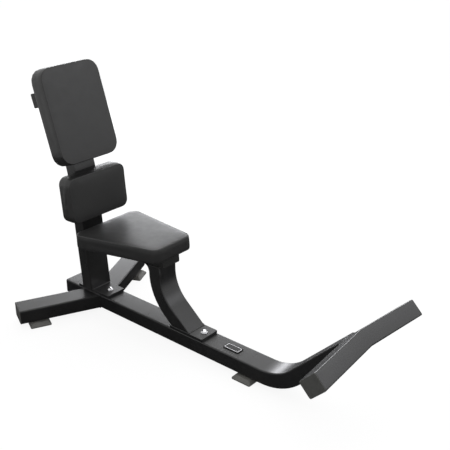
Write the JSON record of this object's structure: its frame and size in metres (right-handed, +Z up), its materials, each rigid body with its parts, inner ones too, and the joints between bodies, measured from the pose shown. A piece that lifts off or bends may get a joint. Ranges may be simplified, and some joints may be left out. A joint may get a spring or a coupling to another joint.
{
  "type": "incline bench",
  "caption": "Fixed utility bench for seated free-weight training, with a split padded backrest, tapered seat, swept rear arms and a floor rail that rises to a foot bar.",
  "frame": {"origin": "on the floor, under the middle of the bench's box", "axes": "+X from the backrest to the foot bar, +Y to the sitter's left, +Z up; the bench is symmetrical about the XZ plane"},
  "size_m": [1.6706, 0.764, 1.1137],
  "materials": {
    "black_paint": "semi-gloss black powder coat",
    "leatherette": "black upholstery vinyl, satin, fine grain",
    "board": "black covered plywood",
    "cap_plastic": "dark grey moulded plastic, matt",
    "foot_rubber": "dark grey rubber",
    "chrome": "bright chrome",
    "zinc": "zinc-plated steel",
    "badge_metal": "bright rim round a bare dark field"
  },
  "bodies": {
    "root": {"badge_plate": "badge_metal", "bracket_bolt_1": "zinc", "bracket_bolt_2": "zinc", "flange_bolt_1": "chrome", "flange_bolt_2": "chrome", "flange_bolt_3": "chrome", "flange_nut_1": "zinc", "flange_nut_2": "zinc", "flange_nut_3": "zinc", "flange_washer_1": "chrome", "flange_washer_2": "chrome", "flange_washer_3": "chrome", "footrest_bar": "black_paint", "front_foot": "foot_rubber", "front_foot_screw_1": "zinc", "front_foot_screw_2": "zinc", "left_arm_cap": "cap_plastic", "left_bracket_cap": "cap_plastic", "left_footrest_cap": "cap_plastic", "left_pad_bracket": "black_paint", "left_rear_arm": "black_paint", "left_rear_foot": "foot_rubber", "left_rear_foot_screw_1": "zinc", "left_rear_foot_screw_2": "zinc", "lower_back_board": "board", "lower_back_bolt_1": "zinc", "lower_back_bolt_2": "zinc", "lower_back_cushion": "leatherette", "main_rail": "black_paint", "rail_rear_cap": "cap_plastic", "right_arm_cap": "cap_plastic", "right_bracket_cap": "cap_plastic", "right_footrest_cap": "cap_plastic", "right_pad_bracket": "black_paint", "right_rear_arm": "black_paint", "right_rear_foot": "foot_rubber", "right_rear_foot_screw_1": "zinc", "right_rear_foot_screw_2": "zinc", "seat_beam": "black_paint", "seat_beam_cap": "cap_plastic", "seat_board": "board", "seat_cushion": "leatherette", "seat_plate": "black_paint", "seat_post": "black_paint", "seat_post_flange": "black_paint", "seat_post_gusset": "black_paint", "seat_screw_1": "zinc", "seat_screw_2": "zinc", "seat_screw_3": "zinc", "seat_screw_4": "zinc", "upper_back_board": "board", "upper_back_bolt_1": "zinc", "upper_back_bolt_2": "zinc", "upper_back_cushion": "leatherette", "upright_flange": "black_paint", "upright_post": "black_paint", "upright_top_cap": "cap_plastic"}
  },
  "joints": []
}
